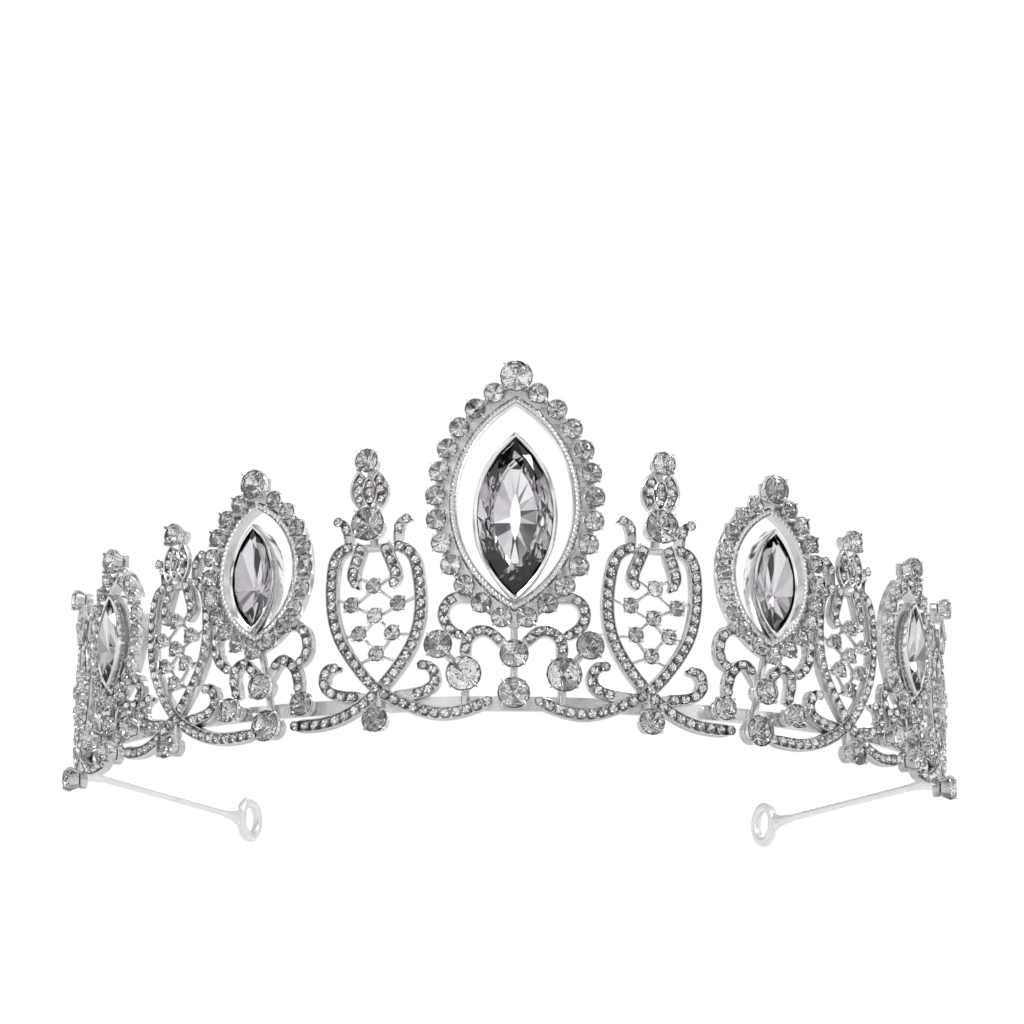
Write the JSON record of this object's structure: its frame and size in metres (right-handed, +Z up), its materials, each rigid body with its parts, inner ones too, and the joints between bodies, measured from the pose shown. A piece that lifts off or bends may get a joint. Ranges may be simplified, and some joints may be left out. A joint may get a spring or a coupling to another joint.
{
  "type": "tiara",
  "caption": "Bridal tiara with a curved base band, marquise and oval openwork panels set with clear stones, and two end arms with pin loops.",
  "frame": {"origin": "centre of the head circle, level with the lowest stones", "axes": "+X to the tiara's right seen from the front, -Y towards the front, +Z up"},
  "size_m": [0.1416, 0.1314, 0.0567],
  "materials": {
    "cast_silver": "silver-plated casting, bright",
    "polished_silver": "silver-plated, polished",
    "satin_silver": "silver-plated, satin",
    "clear_crystal": "faceted lead glass, foiled back"
  },
  "bodies": {
    "root": {"base_band": "cast_silver", "bud_finials": "cast_silver", "centre_bezel": "polished_silver", "centre_halo_settings": "polished_silver", "centre_halo_stones": "clear_crystal", "centre_marquise": "clear_crystal", "centre_rim": "cast_silver", "centre_scroll_frame": "cast_silver", "lattice_nets": "cast_silver", "left_back_oval_ribbon": "cast_silver", "left_back_oval_settings": "polished_silver", "left_back_oval_stones": "clear_crystal", "left_end_arm": "satin_silver", "left_front_bezel": "polished_silver", "left_front_halo_settings": "polished_silver", "left_front_halo_stones": "clear_crystal", "left_front_marquise": "clear_crystal", "left_front_oval_ribbon": "cast_silver", "left_front_oval_settings": "polished_silver", "left_front_oval_stones": "clear_crystal", "left_front_rim": "cast_silver", "left_front_scroll_frame": "cast_silver", "left_middle_oval_ribbon": "cast_silver", "left_middle_oval_settings": "polished_silver", "left_middle_oval_stones": "clear_crystal", "left_side_bezel": "polished_silver", "left_side_halo_settings": "polished_silver", "left_side_halo_stones": "clear_crystal", "left_side_marquise": "clear_crystal", "left_side_rim": "cast_silver", "left_side_scroll_frame": "cast_silver", "right_back_oval_ribbon": "cast_silver", "right_back_oval_settings": "polished_silver", "right_back_oval_stones": "clear_crystal", "right_end_arm": "satin_silver", "right_front_bezel": "polished_silver", "right_front_halo_settings": "polished_silver", "right_front_halo_stones": "clear_crystal", "right_front_marquise": "clear_crystal", "right_front_oval_ribbon": "cast_silver", "right_front_oval_settings": "polished_silver", "right_front_oval_stones": "clear_crystal", "right_front_rim": "cast_silver", "right_front_scroll_frame": "cast_silver", "right_middle_oval_ribbon": "cast_silver", "right_middle_oval_settings": "polished_silver", "right_middle_oval_stones": "clear_crystal", "right_side_bezel": "polished_silver", "right_side_halo_settings": "polished_silver", "right_side_halo_stones": "clear_crystal", "right_side_marquise": "clear_crystal", "right_side_rim": "cast_silver", "right_side_scroll_frame": "cast_silver", "scroll_settings": "polished_silver", "scroll_stones": "clear_crystal"}
  },
  "joints": []
}
